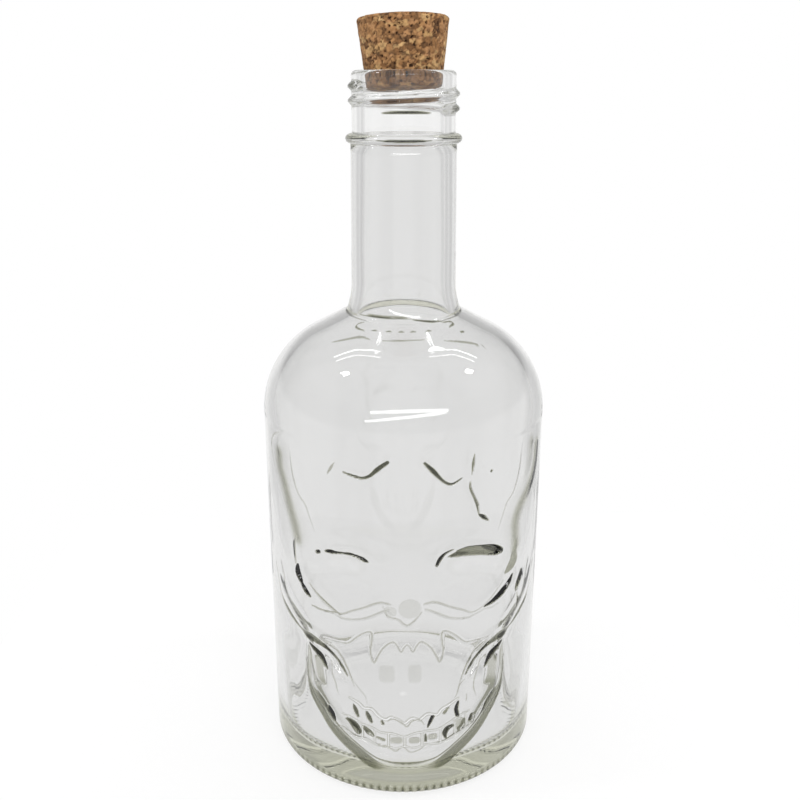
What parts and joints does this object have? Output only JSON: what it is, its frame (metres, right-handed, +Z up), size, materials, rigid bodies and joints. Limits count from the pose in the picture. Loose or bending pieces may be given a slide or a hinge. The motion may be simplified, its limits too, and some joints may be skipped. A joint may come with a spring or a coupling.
{
  "type": "skull decanter",
  "caption": "Clear glass decanter bottle with a skull moulded in its wall, a threaded neck finish and a tapered cork stopper that lifts out.",
  "frame": {"origin": "centre of the bottle's foot, on the surface it stands on", "axes": "+Z up along the bottle's axis, -Y out of the face that is shown, +X to the viewer's right of that face"},
  "size_m": [0.0884, 0.0884, 0.232],
  "materials": {
    "clear_glass": "clear moulded flint glass with a faint green-grey tint in the thick base",
    "agglomerated_cork": "sanded agglomerated cork with dark pits and pale flecks"
  },
  "bodies": {
    "bottle": {"glass_bottle": "clear_glass"},
    "cork": {"cork_stopper": "agglomerated_cork"}
  },
  "joints": [
    {"name": "cork_pull", "type": "slide", "parent": "bottle", "child": "cork", "axis": [0, 0, 1], "range_m": [0, 0.06]}
  ]
}
